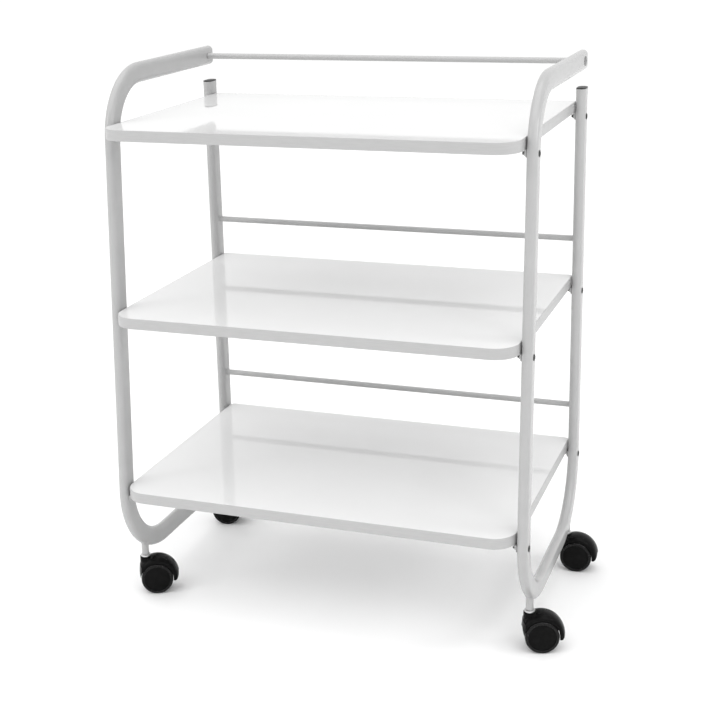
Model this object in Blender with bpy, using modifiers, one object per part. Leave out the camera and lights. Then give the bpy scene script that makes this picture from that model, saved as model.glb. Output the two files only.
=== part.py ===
"""Rolling salon trolley.

Three laminate shelves hang between two bent oval-tube side frames, on four twin-wheel swivel casters.
The working frame has X across the trolley, Y from its front edge to its back and Z up from the floor.
At the end the whole trolley is moved so that the world origin is the centre of its box, on the floor.
"""
import math

import bmesh
import bpy
from mathutils import Matrix, Vector

MM = 0.001
GAP = 0.3 * MM

# Shelves
SHELF_WIDTH = 600 * MM
SHELF_DEPTH = 410 * MM
SHELF_THICKNESS = 16 * MM
SHELF_PITCH = 274 * MM
TOP_SHELF_HEIGHT = 750 * MM
FRONT_CORNER_RADIUS = 35 * MM
REAR_CORNER_RADIUS = 8 * MM

# Side frames of flat-oval tube
TUBE_WIDTH = 15 * MM
TUBE_DEPTH = 30 * MM
TUBE_WALL = 1.5 * MM
SHELF_TO_TUBE = 1.5 * MM
FRONT_UPRIGHT_Y = 62.3 * MM
FRONT_UPRIGHT_LEAN = 0.0534
REAR_UPRIGHT_Y = 401 * MM
REAR_UPRIGHT_ABOVE_SHELF = 20 * MM
ARM_ABOVE_SHELF = 63 * MM
ARM_END_Y = 400 * MM
TOP_BEND_RADIUS = 90 * MM
BOTTOM_BEND_RADIUS = 112 * MM
BOTTOM_RUN_HEIGHT = 75 * MM
BEND_STEPS = 8
TUBE_STEPS = 5
BORE_STEPS = 5
BORE_OVERRUN = 4 * MM
PLUG_FLANGE = 1.6 * MM
PLUG_INSERT = 12 * MM

# Rear rails
RAIL_RADIUS = 4.5 * MM
RAIL_ABOVE_SHELF = 61 * MM
ARM_RAIL_Y = 382 * MM

# Brackets and fasteners under each shelf
BRACKET_SHEET = 1.5 * MM
BRACKET_LENGTH = 18 * MM
BRACKET_REACH = 17 * MM
BRACKET_DROP = 11 * MM
BOLT_DROP = 6.3 * MM
BOLT_RADIUS = 2.5 * MM
BOLT_HEAD_RADIUS = 4.5 * MM
ARM_BOLT_HEAD_RADIUS = 7 * MM
BOLT_HEAD_HEIGHT = 1.2 * MM
BOLT_LENGTH = 22.5 * MM
WELD_NUT_ACROSS_FLATS = 8 * MM
WELD_NUT_HEIGHT = 4 * MM
SCREW_HOLE_RADIUS = 2.1 * MM
SCREW_HOLE_DEPTH = 10 * MM
SCREW_FROM_EDGE = 10.5 * MM

# Casters
STEM_SETBACK = 66 * MM
SOCKET_RADIUS = 5.5 * MM
SOCKET_BORE = 4.5 * MM
SOCKET_TOP = 88 * MM
STEM_RADIUS = 3.9 * MM
STEM_TOP = 74 * MM
STEM_BOTTOM = 46.5 * MM
STEM_GROOVE_RADIUS = 3.2 * MM
STEM_GROOVE_LOW = 68 * MM
STEM_GROOVE_HIGH = 71 * MM
COLLAR_RADIUS = 7.8 * MM
COLLAR_LOW = 59.3 * MM
COLLAR_HIGH = 62 * MM
WHEEL_RADIUS = 25 * MM
WHEEL_INNER_FACE = 5.2 * MM
WHEEL_OUTER_FACE = 18.2 * MM
TRAIL = 17 * MM
AXLE_RADIUS = 2.9 * MM
AXLE_HALF_LENGTH = 16 * MM
HOOD_HALF_WIDTH = 17 * MM
HOOD_RIM_RADIUS = 28.5 * MM
HOOD_CROWN_RADIUS = 34.5 * MM
HOOD_WEB = 4.6 * MM
BOSS_RADIUS = 9 * MM
BOSS_BOTTOM = 35 * MM
BOSS_TOP = 59 * MM
NOSE_LOW = 12.4 * MM
NOSE_HIGH = 8.8 * MM
NOSE_ROUND = 40 * MM
TIP_HEIGHT = 27 * MM
TIP_FALL = 6.6 * MM
POCKET_RADIUS = 26.3 * MM
AXLE_BOSS_RADIUS = 7 * MM
TRAIL_ANGLES = {
    "front_left": 25.0,
    "front_right": 19.0,
    "rear_left": 12.0,
    "rear_right": 4.0,
}

# Worked out from the driving dimensions
TUBE_X = SHELF_WIDTH / 2 + SHELF_TO_TUBE + TUBE_WIDTH / 2
TUBE_INNER_X = TUBE_X - TUBE_WIDTH / 2
TUBE_OUTER_X = TUBE_X + TUBE_WIDTH / 2
BORE_WIDTH = TUBE_WIDTH - 2 * TUBE_WALL
BORE_DEPTH = TUBE_DEPTH - 2 * TUBE_WALL
SHELF_TOPS = {
    "top": TOP_SHELF_HEIGHT,
    "middle": TOP_SHELF_HEIGHT - SHELF_PITCH,
    "bottom": TOP_SHELF_HEIGHT - 2 * SHELF_PITCH,
}
ARM_HEIGHT = TOP_SHELF_HEIGHT + ARM_ABOVE_SHELF
LEAN_ANGLE = math.atan(FRONT_UPRIGHT_LEAN)
LOWER_BEND_HEIGHT = BOTTOM_RUN_HEIGHT + BOTTOM_BEND_RADIUS
SIDES = {"left": -1, "right": 1}


def front_upright_y(height):
    """Depth of the leaning front upright's centre line at a height above the floor."""
    return FRONT_UPRIGHT_Y + FRONT_UPRIGHT_LEAN * (height - TOP_SHELF_HEIGHT)


LOWER_FRONT_BEND_Y = front_upright_y(LOWER_BEND_HEIGHT) + BOTTOM_BEND_RADIUS / math.cos(LEAN_ANGLE)
LOWER_REAR_BEND_Y = REAR_UPRIGHT_Y - BOTTOM_BEND_RADIUS
STEM_Y = {
    "front": LOWER_FRONT_BEND_Y - STEM_SETBACK,
    "rear": LOWER_REAR_BEND_Y + STEM_SETBACK,
}


# ---------------------------------------------------------------- scene helpers

def clear_scene():
    for obj in list(bpy.data.objects):
        bpy.data.objects.remove(obj, do_unlink=True)


def new_collection(name):
    collection = bpy.data.collections.new(name)
    bpy.context.scene.collection.children.link(collection)
    return collection


def principled(name, colour, roughness, metallic=0.0):
    material = bpy.data.materials.new(name)
    material.use_nodes = True
    shader = material.node_tree.nodes["Principled BSDF"]
    shader.inputs["Base Color"].default_value = (*colour, 1.0)
    shader.inputs["Roughness"].default_value = roughness
    shader.inputs["Metallic"].default_value = metallic
    return material


def add_part(name, mesh, material):
    """Put a finished mesh in the trolley's collection as one named sub-part."""
    obj = bpy.data.objects.new(name, mesh)
    PARTS.objects.link(obj)
    obj.data.materials.clear()
    obj.data.materials.append(material)
    return obj


def add_cutter(name, mesh):
    """A guide body for a Boolean, hidden from the render."""
    obj = bpy.data.objects.new(name, mesh)
    CUTTERS.objects.link(obj)
    obj.hide_render = True
    obj.display_type = "WIRE"
    return obj


def boolean(target, other, operation):
    modifier = target.modifiers.new(f"{operation.lower()}_{other.name}", "BOOLEAN")
    modifier.operation = operation
    modifier.solver = "EXACT"
    modifier.object = other


def evaluated_mesh(obj):
    """Mesh of an object with its modifiers, its loose caps welded and the object removed."""
    bpy.context.view_layer.update()
    depsgraph = bpy.context.evaluated_depsgraph_get()
    mesh = bpy.data.meshes.new_from_object(obj.evaluated_get(depsgraph))
    mesh.transform(obj.matrix_world)
    bpy.data.objects.remove(obj, do_unlink=True)
    bm = bmesh.new()
    bm.from_mesh(mesh)
    bmesh.ops.remove_doubles(bm, verts=bm.verts, dist=0.00001)
    bmesh.ops.recalc_face_normals(bm, faces=bm.faces)
    bm.to_mesh(mesh)
    bm.free()
    return mesh


def smooth(obj, angle=35):
    obj.data.shade_smooth()
    obj.data.set_sharp_from_angle(angle=math.radians(angle))


# ---------------------------------------------------------------- shape helpers

def turned(profile, segments):
    """Screw a profile of (radius, height) points round Z. Its outer side runs top to bottom."""
    mesh = bpy.data.meshes.new("profile")
    points = [(radius, 0.0, height) for radius, height in profile]
    edges = [(i, i + 1) for i in range(len(points) - 1)]
    mesh.from_pydata(points, edges, [])
    obj = bpy.data.objects.new("profile", mesh)
    CUTTERS.objects.link(obj)
    screw = obj.modifiers.new("turn", "SCREW")
    screw.axis = "Z"
    screw.angle = math.tau
    screw.steps = segments
    screw.render_steps = segments
    screw.use_merge_vertices = True
    screw.merge_threshold = 0.00001
    return evaluated_mesh(obj)


def cylinder(radius, low, high, segments):
    """Solid cylinder on Z between two heights."""
    bm = bmesh.new()
    place = Matrix.Translation((0, 0, (low + high) / 2))
    bmesh.ops.create_cone(
        bm, cap_ends=True, segments=segments, radius1=radius, radius2=radius, depth=high - low, matrix=place
    )
    mesh = bpy.data.meshes.new("cylinder")
    bm.to_mesh(mesh)
    bm.free()
    return mesh


def box(low, high):
    bm = bmesh.new()
    size = Vector(high) - Vector(low)
    place = Matrix.Translation((Vector(low) + Vector(high)) / 2) @ Matrix.Diagonal((*size, 1.0))
    bmesh.ops.create_cube(bm, size=1.0, matrix=place)
    mesh = bpy.data.meshes.new("box")
    bm.to_mesh(mesh)
    bm.free()
    return mesh


def copies(mesh, places):
    """One mesh that holds a copy of another at each place."""
    bm = bmesh.new()
    for place in places:
        moved = mesh.copy()
        moved.transform(place)
        bm.from_mesh(moved)
        bpy.data.meshes.remove(moved)
    result = bpy.data.meshes.new("copies")
    bm.to_mesh(result)
    bm.free()
    return result


def outline_curve(loops, thickness):
    """Flat outlines in XY, filled and extruded up from Z = 0 by the thickness."""
    curve = bpy.data.curves.new("outline", "CURVE")
    curve.dimensions = "2D"
    curve.fill_mode = "BOTH"
    curve.extrude = thickness / 2
    for loop in loops:
        spline = curve.splines.new("POLY")
        spline.points.add(len(loop) - 1)
        for point, (x, y) in zip(spline.points, loop):
            point.co = (x, y, 0.0, 1.0)
        spline.use_cyclic_u = True
    obj = bpy.data.objects.new("outline", curve)
    CUTTERS.objects.link(obj)
    obj.location.z = thickness / 2
    return evaluated_mesh(obj)


def arc(centre, radius, start, end, steps):
    """Points of an arc, from one angle in degrees to another."""
    points = []
    for i in range(steps + 1):
        angle = math.radians(start + (end - start) * i / steps)
        points.append((centre[0] + radius * math.cos(angle), centre[1] + radius * math.sin(angle)))
    return points


def oval(width, depth, steps):
    """Flat-oval outline with round ends, the ends at plus and minus Y."""
    radius = width / 2
    reach = depth / 2 - radius
    return arc((0, reach), radius, 0, 180, steps) + arc((0, -reach), radius, 180, 360, steps)


def axis_matrix(axis, location):
    """Turn local Z onto an axis and move it to a location."""
    turn = Vector((0, 0, 1)).rotation_difference(Vector(axis)).to_matrix().to_4x4()
    return Matrix.Translation(location) @ turn


# ---------------------------------------------------------------- side frames

def frame_path(overrun=0.0):
    """Centre line of the bent tube in (Y, Z), from the arm's end to the rear upright's top."""
    lean = math.degrees(LEAN_ANGLE)
    top_centre_z = ARM_HEIGHT - TOP_BEND_RADIUS
    top_centre_y = front_upright_y(top_centre_z) + TOP_BEND_RADIUS / math.cos(LEAN_ANGLE)
    lower_front = (LOWER_FRONT_BEND_Y, LOWER_BEND_HEIGHT)
    lower_rear = (LOWER_REAR_BEND_Y, LOWER_BEND_HEIGHT)
    points = [(ARM_END_Y + overrun, ARM_HEIGHT)]
    points += arc((top_centre_y, top_centre_z), TOP_BEND_RADIUS, 90, 180 - lean, BEND_STEPS)
    points += arc(lower_front, BOTTOM_BEND_RADIUS, 180 - lean, 270, BEND_STEPS)
    points += arc(lower_rear, BOTTOM_BEND_RADIUS, 270, 360, BEND_STEPS)
    points.append((REAR_UPRIGHT_Y, TOP_SHELF_HEIGHT + REAR_UPRIGHT_ABOVE_SHELF + overrun))
    return points


def swept_tube(x, width, depth, steps, overrun=0.0):
    """Solid oval bar swept along the frame's centre line."""
    section = bpy.data.curves.new("section", "CURVE")
    section.dimensions = "2D"
    ring = section.splines.new("POLY")
    outline = oval(width, depth, steps)
    ring.points.add(len(outline) - 1)
    for point, (across, along) in zip(ring.points, outline):
        point.co = (across, along, 0.0, 1.0)
    ring.use_cyclic_u = True
    section_object = bpy.data.objects.new("section", section)
    CUTTERS.objects.link(section_object)

    curve = bpy.data.curves.new("path", "CURVE")
    curve.dimensions = "3D"
    curve.twist_mode = "MINIMUM"
    curve.bevel_mode = "OBJECT"
    curve.bevel_object = section_object
    curve.use_fill_caps = True
    spline = curve.splines.new("POLY")
    path = frame_path(overrun)
    spline.points.add(len(path) - 1)
    for point, (y, z) in zip(spline.points, path):
        point.co = (x, y, z, 1.0)
    path_object = bpy.data.objects.new("path", curve)
    CUTTERS.objects.link(path_object)
    mesh = evaluated_mesh(path_object)
    bpy.data.objects.remove(section_object, do_unlink=True)
    return mesh


def bolt_centres(level):
    """(Y, Z) of the two bolts that carry a shelf on one side."""
    height = SHELF_TOPS[level] - SHELF_THICKNESS - BOLT_DROP
    return [(front_upright_y(height), height), (REAR_UPRIGHT_Y, height)]


def frame_bolt_centres():
    """(Y, Z) of every bolt through one side frame, the arm rail's first."""
    centres = [(ARM_RAIL_Y, ARM_HEIGHT)]
    for level in SHELF_TOPS:
        centres += bolt_centres(level)
    return centres


def make_side_frame(side, sign):
    """Bent tube with a round caster socket welded under each lower bend."""
    x = sign * TUBE_X
    outside = swept_tube(x, TUBE_WIDTH, TUBE_DEPTH, TUBE_STEPS)
    frame = add_part(f"side_frame_{side}", outside, MATERIALS["powder_coat"])
    stem_places = [Matrix.Translation((x, y, 0)) for y in STEM_Y.values()]
    socket = cylinder(SOCKET_RADIUS, COLLAR_HIGH + GAP, SOCKET_TOP, 16)
    boolean(frame, add_cutter(f"sockets_{side}", copies(socket, stem_places)), "UNION")

    bore = add_cutter(f"bore_{side}", swept_tube(x, BORE_WIDTH, BORE_DEPTH, BORE_STEPS, BORE_OVERRUN))
    boolean(frame, bore, "DIFFERENCE")

    socket_bore = cylinder(SOCKET_BORE, COLLAR_LOW, STEM_TOP + 1 * MM, 16)
    boolean(frame, add_cutter(f"socket_bores_{side}", copies(socket_bore, stem_places)), "DIFFERENCE")
    drill = cylinder(BOLT_RADIUS + GAP, -TUBE_WIDTH, TUBE_WIDTH, 10)
    places = [axis_matrix((1, 0, 0), (x, y, z)) for y, z in frame_bolt_centres()]
    boolean(frame, add_cutter(f"bolt_holes_{side}", copies(drill, places)), "DIFFERENCE")
    smooth(frame)


def make_tube_plugs(side, sign):
    """Caps at the open ends: black on the upright, light on the arm."""
    flange = outline_curve([oval(TUBE_WIDTH, TUBE_DEPTH, TUBE_STEPS)], PLUG_FLANGE)
    insert = outline_curve([oval(BORE_WIDTH - 2 * GAP, BORE_DEPTH - 2 * GAP, BORE_STEPS)], PLUG_INSERT)
    insert.transform(Matrix.Translation((0, 0, PLUG_FLANGE / 2 - PLUG_INSERT)))

    upright_end = Matrix.Translation(
        (sign * TUBE_X, REAR_UPRIGHT_Y, TOP_SHELF_HEIGHT + REAR_UPRIGHT_ABOVE_SHELF + GAP)
    )
    arm_end = Matrix.Translation((sign * TUBE_X, ARM_END_Y + GAP, ARM_HEIGHT)) @ Matrix.Rotation(
        math.radians(-90), 4, "X"
    )
    for name, place, material in (
        (f"upright_cap_{side}", upright_end, "black_plastic"),
        (f"arm_plug_{side}", arm_end, "grey_plastic"),
    ):
        plug = add_part(name, copies(flange, [place]), MATERIALS[material])
        body = add_cutter(f"insert_of_{name}", copies(insert, [place]))
        boolean(plug, body, "UNION")
        smooth(plug)


# ---------------------------------------------------------------- rails

def make_rails():
    half = TUBE_INNER_X - GAP
    rails = {
        "top": (ARM_RAIL_Y, ARM_HEIGHT),
        "middle": (REAR_UPRIGHT_Y, SHELF_TOPS["middle"] + RAIL_ABOVE_SHELF),
        "bottom": (REAR_UPRIGHT_Y, SHELF_TOPS["bottom"] + RAIL_ABOVE_SHELF),
    }
    for level, (y, z) in rails.items():
        bar = cylinder(RAIL_RADIUS, -half, half, 16)
        bar.transform(axis_matrix((1, 0, 0), (0, y, z)))
        rail = add_part(f"rear_rail_{level}", bar, MATERIALS["powder_coat"])
        if level == "top":
            drill = cylinder(BOLT_RADIUS + GAP, -9 * MM, 9 * MM, 10)
            places = [axis_matrix((1, 0, 0), (end * half, y, z)) for end in (-1, 1)]
            boolean(rail, add_cutter("rail_end_threads", copies(drill, places)), "DIFFERENCE")
        smooth(rail)


# ---------------------------------------------------------------- shelves

def shelf_outline():
    """Board outline in XY, its front corners rounder than its rear ones, seen from above."""
    half = SHELF_WIDTH / 2
    front = FRONT_CORNER_RADIUS
    rear = REAR_CORNER_RADIUS
    points = arc((-half + front, front), front, 180, 270, 8)
    points += arc((half - front, front), front, 270, 360, 8)
    points += arc((half - rear, SHELF_DEPTH - rear), rear, 0, 90, 4)
    points += arc((-half + rear, SHELF_DEPTH - rear), rear, 90, 180, 4)
    return points


def screw_centres(level):
    """(X, Y) of the holes for one shelf's bracket screws."""
    x = TUBE_INNER_X - GAP - SCREW_FROM_EDGE
    return [(sign * x, y) for sign in SIDES.values() for y, _ in bolt_centres(level)]


def make_shelf(level):
    bottom = SHELF_TOPS[level] - SHELF_THICKNESS
    board_mesh = outline_curve([shelf_outline()], SHELF_THICKNESS)
    board_mesh.transform(Matrix.Translation((0, 0, bottom)))
    board = add_part(f"shelf_{level}", board_mesh, MATERIALS["melamine"])
    drill = cylinder(SCREW_HOLE_RADIUS, bottom - 2 * MM, bottom + SCREW_HOLE_DEPTH, 8)
    places = [Matrix.Translation((x, y, 0)) for x, y in screw_centres(level)]
    boolean(board, add_cutter(f"pilot_holes_{level}", copies(drill, places)), "DIFFERENCE")
    smooth(board)


def bracket_mesh():
    """Right-hand angle bracket with its weld nut.

    Its outer face is at X = 0 and its upper face at Z = 0, centred on Y = 0.
    """
    sheet = BRACKET_SHEET
    bolt_z = GAP - BOLT_DROP
    outline = [
        (0, 0),
        (-BRACKET_REACH, 0),
        (-BRACKET_REACH, -sheet),
        (-sheet, -sheet),
        (-sheet, -BRACKET_DROP),
        (0, -BRACKET_DROP),
    ]
    angle = outline_curve([outline], BRACKET_LENGTH)
    upright = Matrix.Rotation(math.radians(90), 4, "X")
    angle.transform(Matrix.Translation((0, BRACKET_LENGTH / 2, 0)) @ upright)
    bracket = add_cutter("bracket_blank", angle)

    nut_radius = WELD_NUT_ACROSS_FLATS / 2 / math.cos(math.pi / 6)
    nut = cylinder(nut_radius, sheet / 2, sheet + WELD_NUT_HEIGHT, 6)
    nut.transform(axis_matrix((-1, 0, 0), (0, 0, bolt_z)) @ Matrix.Rotation(math.pi / 6, 4, "Z"))
    boolean(bracket, add_cutter("weld_nut", nut), "UNION")

    drill = cylinder(BOLT_RADIUS + GAP, -9 * MM, 9 * MM, 10)
    drill.transform(axis_matrix((1, 0, 0), (0, 0, bolt_z)))
    boolean(bracket, add_cutter("bracket_bolt_hole", drill), "DIFFERENCE")
    pilot = cylinder(SCREW_HOLE_RADIUS, -5 * MM, 5 * MM, 8)
    pilot.transform(Matrix.Translation((-SCREW_FROM_EDGE, 0, 0)))
    boolean(bracket, add_cutter("bracket_screw_hole", pilot), "DIFFERENCE")
    return evaluated_mesh(bracket)


def bolt_mesh(head):
    """Bolt with a thin domed head of a given radius, which rises from Z = 0. Its shank runs down."""
    rise = BOLT_HEAD_HEIGHT
    profile = [
        (0, rise),
        (head * 0.6, rise * 0.9),
        (head, rise * 0.3),
        (head, 0),
        (BOLT_RADIUS, 0),
        (BOLT_RADIUS, -BOLT_LENGTH),
        (0, -BOLT_LENGTH),
    ]
    return turned(profile, 10)


def add_bolt(name, shape, material, sign, y, z):
    bolt = add_part(name, shape.copy(), MATERIALS[material])
    bolt.matrix_world = axis_matrix((sign, 0, 0), (sign * (TUBE_OUTER_X + GAP), y, z))
    smooth(bolt)


def make_shelf_fixings():
    """A bracket under each shelf corner and its bolt, and a bolt at each end of the arm rail."""
    bracket_shape = bracket_mesh()
    bolt_shape = bolt_mesh(BOLT_HEAD_RADIUS)
    arm_bolt_shape = bolt_mesh(ARM_BOLT_HEAD_RADIUS)
    for side, sign in SIDES.items():
        add_bolt(f"arm_rail_bolt_{side}", arm_bolt_shape, "zinc", sign, ARM_RAIL_Y, ARM_HEIGHT)
        for level, top in SHELF_TOPS.items():
            for end, (y, z) in zip(("front", "rear"), bolt_centres(level)):
                corner = f"{level}_{end}_{side}"
                bracket = add_part(f"bracket_{corner}", bracket_shape.copy(), MATERIALS["powder_coat"])
                bracket.location = (sign * (TUBE_INNER_X - GAP), y, top - SHELF_THICKNESS - GAP)
                bracket.rotation_euler.z = 0.0 if sign > 0 else math.pi
                add_bolt(f"shelf_bolt_{corner}", bolt_shape, "black_steel", sign, y, z)


# ---------------------------------------------------------------- casters

def make_stem(corner, x, y):
    """Steel pin that the hood turns on, with its seat collar and the grip ring's groove."""
    profile = [
        (0, STEM_TOP),
        (STEM_RADIUS - 1 * MM, STEM_TOP),
        (STEM_RADIUS, STEM_TOP - 1 * MM),
        (STEM_RADIUS, STEM_GROOVE_HIGH),
        (STEM_GROOVE_RADIUS, STEM_GROOVE_HIGH),
        (STEM_GROOVE_RADIUS, STEM_GROOVE_LOW),
        (STEM_RADIUS, STEM_GROOVE_LOW),
        (STEM_RADIUS, COLLAR_HIGH),
        (COLLAR_RADIUS - 0.8 * MM, COLLAR_HIGH),
        (COLLAR_RADIUS, COLLAR_HIGH - 0.8 * MM),
        (COLLAR_RADIUS, COLLAR_LOW),
        (STEM_RADIUS, COLLAR_LOW),
        (STEM_RADIUS, STEM_BOTTOM),
        (0, STEM_BOTTOM),
    ]
    pin = turned(profile, 12)
    pin.transform(Matrix.Translation((x, y, 0)))
    smooth(add_part(f"caster_stem_{corner}", pin, MATERIALS["zinc"]))


def hood_mesh():
    """Hood over both wheels. The swivel axis is local Z and the wheels trail towards plus X."""
    axle_place = axis_matrix((0, -1, 0), (TRAIL, 0, WHEEL_RADIUS))
    rim = HOOD_RIM_RADIUS
    crown = HOOD_CROWN_RADIUS
    half = HOOD_HALF_WIDTH
    steps = 6
    profile = [(0, half)]
    for i in range(steps + 1):
        across = half * (1 - 2 * i / steps)
        bulge = math.sqrt(max(0.0, 1 - (across / half) ** 2))
        profile.append((rim + (crown - rim) * bulge, across))
    profile.append((0, -half))
    barrel = turned(profile, 32)
    barrel.transform(axle_place)
    hood = add_cutter("hood_blank", barrel)

    boss = cylinder(BOSS_RADIUS, BOSS_BOTTOM, BOSS_TOP, 24)
    boolean(hood, add_cutter("stem_boss", boss), "UNION")

    clear = 2 * rim
    bite = arc((NOSE_ROUND, 0), NOSE_ROUND, 270, 90, 10)
    outline = [(-clear, -clear), (NOSE_ROUND, -clear), *bite, (NOSE_ROUND, clear), (-clear, clear)]
    ahead = outline_curve([outline], 2 * clear)
    ahead.transform(Matrix.Translation((0, 0, -clear)))
    nose_slope = math.atan((NOSE_LOW - NOSE_HIGH) / (BOSS_TOP - TIP_HEIGHT))
    ahead.transform(Matrix.Translation((-NOSE_LOW, 0, TIP_HEIGHT)) @ Matrix.Rotation(nose_slope, 4, "Y"))
    boolean(hood, add_cutter("hood_front", ahead), "DIFFERENCE")

    below = box((-clear, -clear, -clear), (2 * clear, clear, 0))
    tip_slope = math.atan(TIP_FALL / (2 * HOOD_RIM_RADIUS))
    below.transform(Matrix.Translation((-NOSE_LOW, 0, TIP_HEIGHT)) @ Matrix.Rotation(tip_slope, 4, "Y"))
    boolean(hood, add_cutter("hood_open_side", below), "DIFFERENCE")

    pocket = cylinder(POCKET_RADIUS, HOOD_WEB, half + 5 * MM, 32)
    far_side = axis_matrix((0, 1, 0), (TRAIL, 0, WHEEL_RADIUS))
    boolean(hood, add_cutter("wheel_pockets", copies(pocket, [axle_place, far_side])), "DIFFERENCE")

    hub = cylinder(AXLE_BOSS_RADIUS, -HOOD_WEB + GAP, HOOD_WEB - GAP, 20)
    hub.transform(axle_place)
    boolean(hood, add_cutter("axle_boss", hub), "UNION")

    axle_bore = cylinder(AXLE_RADIUS + GAP, -half, half, 16)
    axle_bore.transform(axle_place)
    boolean(hood, add_cutter("axle_bore", axle_bore), "DIFFERENCE")
    stem_bore = cylinder(STEM_RADIUS + GAP, STEM_BOTTOM - GAP, STEM_TOP, 16)
    boolean(hood, add_cutter("stem_bore", stem_bore), "DIFFERENCE")
    return evaluated_mesh(hood)


def wheel_mesh():
    """Wheel with a closed outer disc, open towards the hood's web. Its axis is local Z."""
    rim = WHEEL_RADIUS
    face = WHEEL_OUTER_FACE
    inner = WHEEL_INNER_FACE
    bore = AXLE_RADIUS + GAP
    profile = [
        (0, face),
        (rim - 2.4 * MM, face),
        (rim - 0.6 * MM, face - 1.0 * MM),
        (rim, face - 3.0 * MM),
        (rim, inner + 1.0 * MM),
        (rim - 1.0 * MM, inner),
        (rim - 2.6 * MM, inner),
        (rim - 2.6 * MM, face - 2.4 * MM),
        (bore + 2.6 * MM, face - 2.4 * MM),
        (bore + 2.6 * MM, inner),
        (bore, inner),
        (bore, AXLE_HALF_LENGTH + GAP),
        (0, AXLE_HALF_LENGTH + GAP),
    ]
    return turned(profile, 24)


def axle_mesh():
    chamfer = 0.5 * MM
    profile = [
        (0, AXLE_HALF_LENGTH),
        (AXLE_RADIUS - chamfer, AXLE_HALF_LENGTH),
        (AXLE_RADIUS, AXLE_HALF_LENGTH - chamfer),
        (AXLE_RADIUS, -AXLE_HALF_LENGTH + chamfer),
        (AXLE_RADIUS - chamfer, -AXLE_HALF_LENGTH),
        (0, -AXLE_HALF_LENGTH),
    ]
    return turned(profile, 12)


def make_swivel(corner, x, y, shapes):
    """Hood, axle and two wheels under an empty on the swivel axis."""
    swivel = bpy.data.objects.new(f"swivel_{corner}", None)
    PARTS.objects.link(swivel)
    swivel.location = (x, y, 0)
    swivel.rotation_euler.z = math.radians(TRAIL_ANGLES[corner])
    axle_centre = (TRAIL, 0, WHEEL_RADIUS)
    pieces = {
        "caster_hood": ("hood", (0, 0, 0), 0.0, "caster_black"),
        "caster_axle": ("axle", axle_centre, 90.0, "zinc"),
        "wheel_near": ("wheel", axle_centre, 90.0, "wheel_black"),
        "wheel_far": ("wheel", axle_centre, -90.0, "wheel_black"),
    }
    for name, (shape, location, turn, material) in pieces.items():
        piece = bpy.data.objects.new(f"{name}_{corner}", shapes[shape].copy())
        PARTS.objects.link(piece)
        piece.data.materials.append(MATERIALS[material])
        piece.location = location
        piece.rotation_euler.x = math.radians(turn)
        piece.parent = swivel
        smooth(piece)


def make_casters():
    shapes = {"hood": hood_mesh(), "wheel": wheel_mesh(), "axle": axle_mesh()}
    for end, y in STEM_Y.items():
        for side, sign in SIDES.items():
            corner = f"{end}_{side}"
            x = sign * TUBE_X
            make_stem(corner, x, y)
            make_swivel(corner, x, y, shapes)


# ---------------------------------------------------------------- placing

def centre_on_floor():
    """Parent everything to one empty and move it so the box's centre is above the origin."""
    bpy.context.view_layer.update()
    depsgraph = bpy.context.evaluated_depsgraph_get()
    low = Vector((1.0, 1.0, 1.0))
    high = -low
    for obj in PARTS.objects:
        if obj.type != "MESH":
            continue
        mesh = obj.evaluated_get(depsgraph).to_mesh()
        for vertex in mesh.vertices:
            point = obj.matrix_world @ vertex.co
            low = Vector(map(min, low, point))
            high = Vector(map(max, high, point))
    root = bpy.data.objects.new("trolley", None)
    PARTS.objects.link(root)
    for obj in list(PARTS.objects) + list(CUTTERS.objects):
        if obj is not root and obj.parent is None:
            obj.parent = root
    root.location = (-(low.x + high.x) / 2, -(low.y + high.y) / 2, -low.z)
    bpy.context.view_layer.update()


clear_scene()
PARTS = new_collection("salon_trolley")
CUTTERS = new_collection("cutters")
MATERIALS = {
    "powder_coat": principled("powder_coat", (0.80, 0.80, 0.80), 0.35),
    "melamine": principled("melamine", (0.87, 0.87, 0.87), 0.15),
    "black_plastic": principled("black_plastic", (0.02, 0.02, 0.02), 0.45),
    "grey_plastic": principled("grey_plastic", (0.70, 0.70, 0.70), 0.45),
    "caster_black": principled("caster_black", (0.015, 0.015, 0.016), 0.35),
    "wheel_black": principled("wheel_black", (0.012, 0.012, 0.012), 0.5),
    "black_steel": principled("black_steel", (0.03, 0.03, 0.03), 0.4, 0.8),
    "zinc": principled("zinc", (0.72, 0.72, 0.73), 0.3, 1.0),
}
for side_name, side_sign in SIDES.items():
    make_side_frame(side_name, side_sign)
    make_tube_plugs(side_name, side_sign)
make_rails()
for shelf_level in SHELF_TOPS:
    make_shelf(shelf_level)
make_shelf_fixings()
make_casters()
centre_on_floor()
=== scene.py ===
"""Looks of a rolling salon trolley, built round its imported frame.

Every length is in metres. The working frame has X across the trolley, Y from the shelves' front
edge to their back and Z up from the floor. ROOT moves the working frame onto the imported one.
"""
import math

import bmesh
import bpy
from mathutils import Matrix, Vector


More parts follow.
